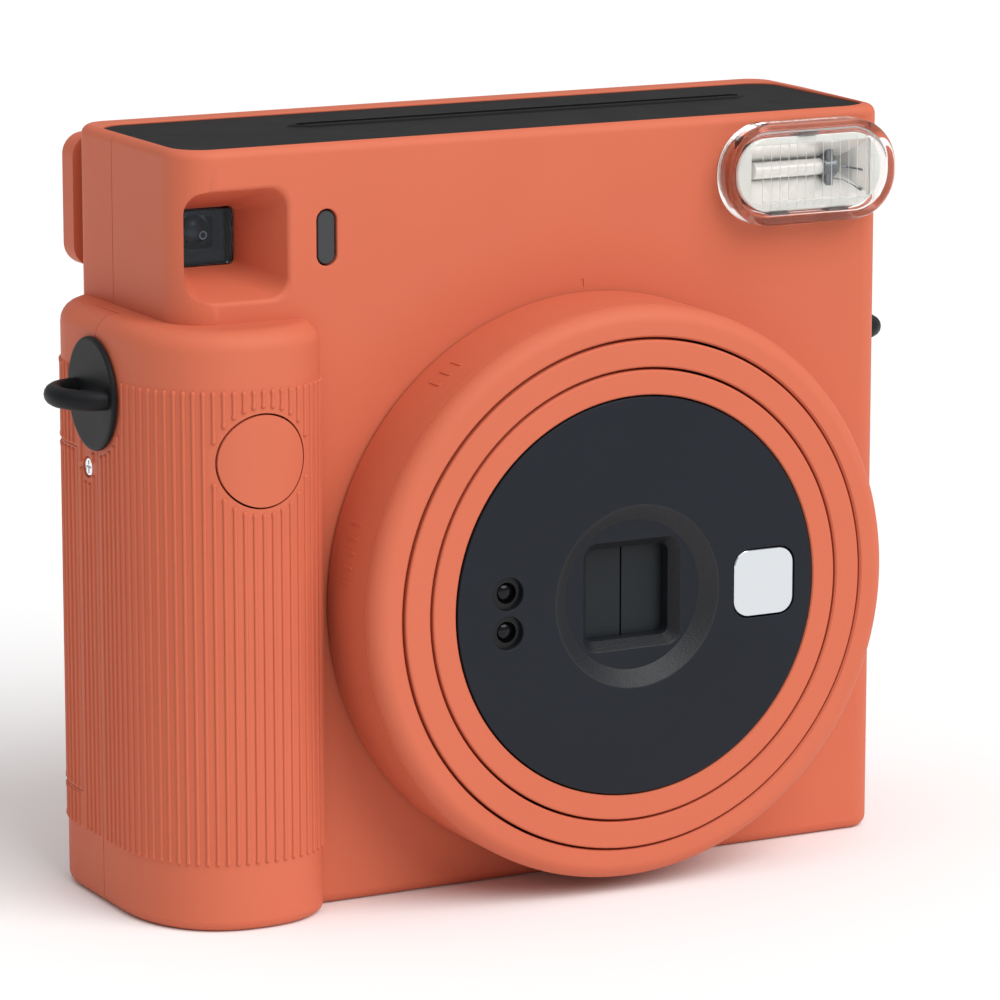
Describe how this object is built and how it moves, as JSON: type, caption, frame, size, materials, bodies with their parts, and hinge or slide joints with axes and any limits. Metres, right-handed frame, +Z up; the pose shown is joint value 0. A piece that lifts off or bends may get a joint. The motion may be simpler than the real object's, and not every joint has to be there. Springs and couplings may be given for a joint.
{
  "type": "instant camera",
  "caption": "Boxy hand-held instant film camera with a rounded ribbed grip, large round lens dial, wide flash window, black top with a print slot and a hinged film door at the rear.",
  "frame": {"origin": "centre of the flat base, between the sides and between the front and rear faces of the body without the grip bulge", "axes": "+Z up, the lens faces -Y, the hand grip is on the -X side"},
  "size_m": [0.1466, 0.0632, 0.1186],
  "materials": {
    "orange_plastic": "satin moulded plastic, terracotta orange",
    "black_plastic": "matt black moulded plastic",
    "face_black": "smooth blue-black plastic",
    "clear_plastic": "clear moulded plastic",
    "dark_glass": "dark tinted window",
    "lens_glass": "polished clear",
    "mirror": "polished",
    "reflector": "bright, fine vertical flutes",
    "steel": "plain",
    "white_plastic": "natural moulded plastic",
    "board_green": "coated circuit board",
    "cell_wrap": "printed sleeve, plain"
  },
  "bodies": {
    "case": {"front_shell": "orange_plastic", "rear_shell": "orange_plastic", "eyepiece_housing": "orange_plastic", "top_panel": "black_plastic", "left_strap_lug": "black_plastic", "right_strap_lug": "black_plastic", "viewfinder_tunnel": "black_plastic", "film_chamber": "black_plastic", "light_tunnel": "black_plastic", "battery_holder": "black_plastic", "button_bracket": "black_plastic", "flash_capacitor": "black_plastic", "flash_cover": "clear_plastic", "viewfinder_window": "dark_glass", "ae_window": "dark_glass", "eyepiece_lens": "lens_glass", "flash_tube": "lens_glass", "flash_reflector": "reflector", "left_side_screw": "steel", "front_base_screw": "steel", "rear_base_screw": "steel", "film_motor": "steel", "drive_gear_axle": "steel", "gear_plate": "steel", "roller_bracket": "steel", "door_hinge_pin": "steel", "battery_contact_lower": "steel", "battery_contact_upper": "steel", "button_spring": "steel", "circuit_board": "board_green", "battery_cell_lower": "cell_wrap", "battery_cell_upper": "cell_wrap"},
    "lens_ring": {"lens_ring": "orange_plastic", "ring_retainer": "steel"},
    "middle_barrel": {"middle_barrel": "orange_plastic"},
    "front_barrel": {"front_barrel": "orange_plastic", "face_plate": "face_black", "selfie_mirror": "mirror", "light_sensor_upper": "dark_glass", "light_sensor_lower": "dark_glass", "lens_cell": "black_plastic", "front_lens": "lens_glass", "rear_lens": "lens_glass", "shutter_pin": "steel"},
    "barrier_leaf_left": {"barrier_leaf_left": "black_plastic"},
    "barrier_leaf_right": {"barrier_leaf_right": "black_plastic"},
    "shutter_blade": {"shutter_blade": "steel"},
    "shutter_button": {"shutter_button": "orange_plastic"},
    "front_roller": {"front_roller": "steel", "front_roller_gear": "white_plastic"},
    "rear_roller": {"rear_roller": "steel", "rear_roller_gear": "white_plastic"},
    "drive_gear": {"drive_gear": "white_plastic"},
    "motor_pinion": {"motor_pinion": "white_plastic"},
    "film_door": {"film_door": "orange_plastic", "pack_window": "dark_glass", "pressure_spring_left": "steel", "pressure_spring_right": "steel"},
    "door_latch": {"door_latch": "orange_plastic"},
    "battery_cover": {"battery_cover": "orange_plastic"}
  },
  "joints": [
    {"name": "lens_ring_turn", "type": "hinge", "parent": "case", "child": "lens_ring", "pos_m": [0.0102, -0.02, 0.0475], "axis": [0, 1, 0], "range_deg": [0, 90]},
    {"name": "middle_barrel_slide", "type": "slide", "parent": "case", "child": "middle_barrel", "axis": [0, -1, 0], "range_m": [0, 0.007]},
    {"name": "front_barrel_slide", "type": "slide", "parent": "case", "child": "front_barrel", "axis": [0, -1, 0], "range_m": [0, 0.014]},
    {"name": "barrier_left_slide", "type": "slide", "parent": "front_barrel", "child": "barrier_leaf_left", "axis": [-1, 0, 0], "range_m": [0, 0.016]},
    {"name": "barrier_right_slide", "type": "slide", "parent": "front_barrel", "child": "barrier_leaf_right", "axis": [1, 0, 0], "range_m": [0, 0.016]},
    {"name": "shutter_blade_swing", "type": "hinge", "parent": "front_barrel", "child": "shutter_blade", "pos_m": [0.0232, -0.0217, 0.0475], "axis": [0, 1, 0], "range_deg": [0, 78], "stiffness_Nm_per_rad": 0.0004, "springref_deg": -57.3},
    {"name": "shutter_button_press", "type": "slide", "parent": "case", "child": "shutter_button", "axis": [0, 1, 0], "range_m": [0, 0.0012], "stiffness_N_per_m": 1000, "springref_m": -0.0008, "deforming": ["button_spring"]},
    {"name": "film_door_swing", "type": "hinge", "parent": "case", "child": "film_door", "pos_m": [0.0575, 0.0185, 0.0542], "axis": [0, 0, -1], "range_deg": [0, 100]},
    {"name": "door_latch_slide", "type": "slide", "parent": "film_door", "child": "door_latch", "axis": [0, 0, -1], "range_m": [0, 0.003], "stiffness_N_per_m": 250, "springref_m": -0.002},
    {"name": "battery_cover_swing", "type": "hinge", "parent": "case", "child": "battery_cover", "pos_m": [-0.0503, 0.02025, 0.0435], "axis": [0, 0, -1], "range_deg": [0, 95]},
    {"name": "front_roller_spin", "type": "hinge", "parent": "case", "child": "front_roller", "pos_m": [0.0102, -0.00225, 0.108], "axis": [1, 0, 0], "continuous": true},
    {"name": "rear_roller_spin", "type": "hinge", "parent": "case", "child": "rear_roller", "pos_m": [0.0102, 0.00525, 0.108], "axis": [1, 0, 0], "continuous": true},
    {"name": "drive_gear_spin", "type": "hinge", "parent": "case", "child": "drive_gear", "pos_m": [0.0555, -0.00525, 0.09716], "axis": [1, 0, 0], "continuous": true},
    {"name": "motor_pinion_spin", "type": "hinge", "parent": "case", "child": "motor_pinion", "pos_m": [0.0555, -0.00875, 0.08846], "axis": [1, 0, 0], "continuous": true}
  ],
  "couplings": [
    {"joint": "middle_barrel_slide", "follows": "lens_ring_turn", "m_per_rad": 0.00445},
    {"joint": "front_barrel_slide", "follows": "lens_ring_turn", "m_per_rad": 0.0089},
    {"joint": "barrier_left_slide", "follows": "lens_ring_turn", "m_per_rad": 0.0101},
    {"joint": "barrier_right_slide", "follows": "lens_ring_turn", "m_per_rad": 0.0101},
    {"joint": "rear_roller_spin", "follows": "front_roller_spin", "ratio": -1},
    {"joint": "drive_gear_spin", "follows": "front_roller_spin", "ratio": -0.5},
    {"joint": "motor_pinion_spin", "follows": "front_roller_spin", "ratio": 2}
  ]
}
